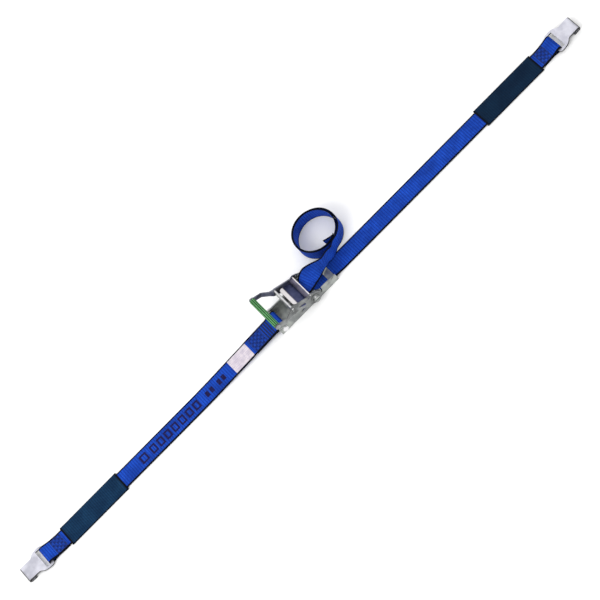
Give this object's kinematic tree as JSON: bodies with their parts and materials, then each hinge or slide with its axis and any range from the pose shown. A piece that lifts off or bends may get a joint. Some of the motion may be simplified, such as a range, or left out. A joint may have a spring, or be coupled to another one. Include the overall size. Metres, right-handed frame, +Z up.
{
  "type": "ratchet tie down",
  "caption": "Hand ratchet with a green grip, blue webbing, dark wear sleeves and a flat steel hook on each end, for holding down a load.",
  "frame": {"origin": "on the ratchet frame's flat underside, straight below the spindle's axis", "axes": "+X along the strap from the fixed end's hook to the load end's hook, +Y to the side where the free tail lies, +Z up away from the underside"},
  "size_m": [1.8458, 0.2041, 0.0811],
  "materials": {
    "zinc_steel": "zinc plated, satin, with scuffs",
    "dark_steel": "zinc plated, darker, satin",
    "bright_steel": "bright zinc plated",
    "green_plastic": "moulded, with grooves along it",
    "blue_webbing": "woven polyester webbing with black edges",
    "navy_sleeve": "coarse woven tube",
    "label_cloth": "woven label with faint lines"
  },
  "bodies": {
    "frame": {"frame_channel": "zinc_steel", "nose_bridge": "zinc_steel", "anchor_bolt": "bright_steel", "anchor_nut": "bright_steel", "frame_pawl_spring_near": "bright_steel", "frame_pawl_spring_far": "bright_steel", "fixed_strap": "blue_webbing", "load_strap": "blue_webbing", "tail_webbing": "blue_webbing", "tail_coil": "blue_webbing", "label": "label_cloth"},
    "spindle": {"spindle_shaft_upper": "bright_steel", "spindle_shaft_lower": "bright_steel", "ratchet_wheel_near": "zinc_steel", "ratchet_wheel_far": "zinc_steel", "spindle_washer_near": "bright_steel", "spindle_washer_far": "bright_steel", "cotter_pin_near": "bright_steel", "cotter_pin_far": "bright_steel", "webbing_in_spindle": "blue_webbing"},
    "handle": {"handle_arm_near": "dark_steel", "handle_arm_far": "dark_steel", "handle_web": "dark_steel", "handle_spring_stop": "zinc_steel", "handle_cross_bar": "bright_steel", "grip_rod": "zinc_steel", "grip_sleeve": "green_plastic", "handle_pawl_spring_near": "bright_steel", "handle_pawl_spring_far": "bright_steel"},
    "handle_pawl": {"handle_pawl": "bright_steel"},
    "frame_pawl": {"frame_pawl": "dark_steel"},
    "hook_a": {"hook_a": "bright_steel"},
    "hook_b": {"hook_b": "bright_steel"},
    "sleeve_a": {"wear_sleeve_a": "navy_sleeve"},
    "sleeve_b": {"wear_sleeve_b": "navy_sleeve"}
  },
  "joints": [
    {"name": "handle_swing", "type": "hinge", "parent": "frame", "child": "handle", "pos_m": [0, 0, 0.024], "axis": [0, 1, 0], "range_deg": [0, 140], "deforming": ["tail_webbing", "tail_coil"]},
    {"name": "spindle_turn", "type": "hinge", "parent": "frame", "child": "spindle", "pos_m": [0, 0, 0.024], "axis": [0, 1, 0], "continuous": true},
    {"name": "handle_pawl_slide", "type": "slide", "parent": "handle", "child": "handle_pawl", "axis": [-0.9135, 0, 0.4067], "range_m": [0, 0.006], "stiffness_N_per_m": 600, "springref_m": -0.008, "deforming": ["handle_pawl_spring_near", "handle_pawl_spring_far"]},
    {"name": "frame_pawl_slide", "type": "slide", "parent": "frame", "child": "frame_pawl", "axis": [-0.9781, 0, -0.2079], "range_m": [0, 0.006], "stiffness_N_per_m": 600, "springref_m": -0.008, "deforming": ["frame_pawl_spring_near", "frame_pawl_spring_far"]},
    {"name": "hook_a_swing", "type": "hinge", "parent": "frame", "child": "hook_a", "pos_m": [-0.8818, 0, 0.0075], "axis": [0, 1, 0], "range_deg": [-90, 90]},
    {"name": "hook_b_swing", "type": "hinge", "parent": "frame", "child": "hook_b", "pos_m": [0.8216, 0, 0.0075], "axis": [0, -1, 0], "range_deg": [-90, 90]},
    {"name": "sleeve_a_slide", "type": "slide", "parent": "frame", "child": "sleeve_a", "axis": [1, 0, 0], "range_m": [0, 0.2]},
    {"name": "sleeve_b_slide", "type": "slide", "parent": "frame", "child": "sleeve_b", "axis": [-1, 0, 0], "range_m": [0, 0.2]}
  ]
}
